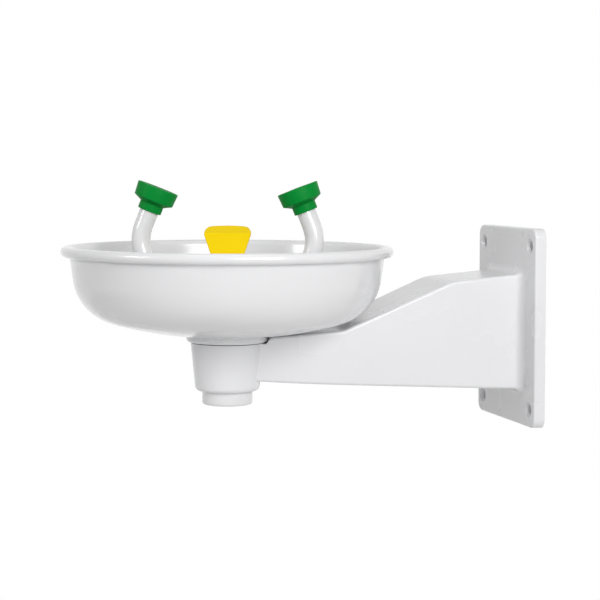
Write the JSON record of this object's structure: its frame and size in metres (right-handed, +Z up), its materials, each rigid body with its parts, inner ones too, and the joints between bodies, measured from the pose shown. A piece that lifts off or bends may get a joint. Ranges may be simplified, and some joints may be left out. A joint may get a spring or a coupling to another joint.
{
  "type": "wall-mounted eyewash station",
  "caption": "Wall-mounted eyewash: round bowl on a hollow cast arm, bent water tubes with spray heads, a push paddle on a stay-open ball valve, and a drain stub below.",
  "frame": {"origin": "centre of the wall plate's back face, which is the centre of its four bolt holes", "axes": "+Y into the wall, +Z up, +X to the right for someone facing the wall; the bowl is out along -Y"},
  "size_m": [0.279, 0.401, 0.2101],
  "materials": {
    "coated_casting": "gloss powder coat",
    "coated_bowl": "gloss powder coat",
    "coated_tube": "gloss powder coat",
    "coated_drain": "gloss powder coat",
    "seal_rubber": "matt black rubber",
    "fibre_washer": "pressed fibre",
    "plated_brass": "nickel plate, satin",
    "polished_steel": "polished",
    "brushed_steel": "brushed",
    "seat_plastic": "smooth",
    "green_shell": "moulded, satin gloss",
    "green_face": "moulded, satin gloss",
    "inner_plastic": "smooth",
    "yellow_paddle": "moulded, satin gloss"
  },
  "bodies": {
    "station": {"wall_bracket": "coated_casting", "bowl": "coated_bowl", "seat_gasket": "seal_rubber", "flange_gasket": "seal_rubber", "waste_body": "plated_brass", "drain_grid": "brushed_steel", "drain_tailpiece": "coated_drain", "tailpiece_seal": "seal_rubber", "inlet_bulkhead": "brushed_steel", "bulkhead_screws": "brushed_steel", "inlet_fitting": "plated_brass", "inlet_washer": "fibre_washer", "inlet_locknut": "plated_brass", "inlet_strainer": "brushed_steel", "supply_pipe": "brushed_steel", "supply_seals": "seal_rubber", "riser_pipe": "brushed_steel", "riser_seals": "seal_rubber", "valve_body": "plated_brass", "inlet_seat": "seat_plastic", "left_outlet_seat": "seat_plastic", "left_outlet_union": "plated_brass", "left_union_washer": "fibre_washer", "left_tube_nut": "plated_brass", "left_ferrule": "plated_brass", "left_tube": "coated_tube", "left_head_body": "green_shell", "left_spray_face": "green_face", "left_head_screen": "brushed_steel", "left_flow_regulator": "inner_plastic", "left_head_washer": "fibre_washer", "right_outlet_seat": "seat_plastic", "right_outlet_union": "plated_brass", "right_union_washer": "fibre_washer", "right_tube_nut": "plated_brass", "right_ferrule": "plated_brass", "right_tube": "coated_tube", "right_head_body": "green_shell", "right_spray_face": "green_face", "right_head_screen": "brushed_steel", "right_flow_regulator": "inner_plastic", "right_head_washer": "fibre_washer"},
    "lever": {"push_paddle": "yellow_paddle", "paddle_screw": "brushed_steel", "lever_stud": "brushed_steel", "valve_ball": "polished_steel"}
  },
  "joints": [
    {"name": "paddle_push", "type": "hinge", "parent": "station", "child": "lever", "pos_m": [0, -0.2615, 0.044], "axis": [-0.2672, -0.9636, 0], "range_deg": [0, 60]}
  ]
}
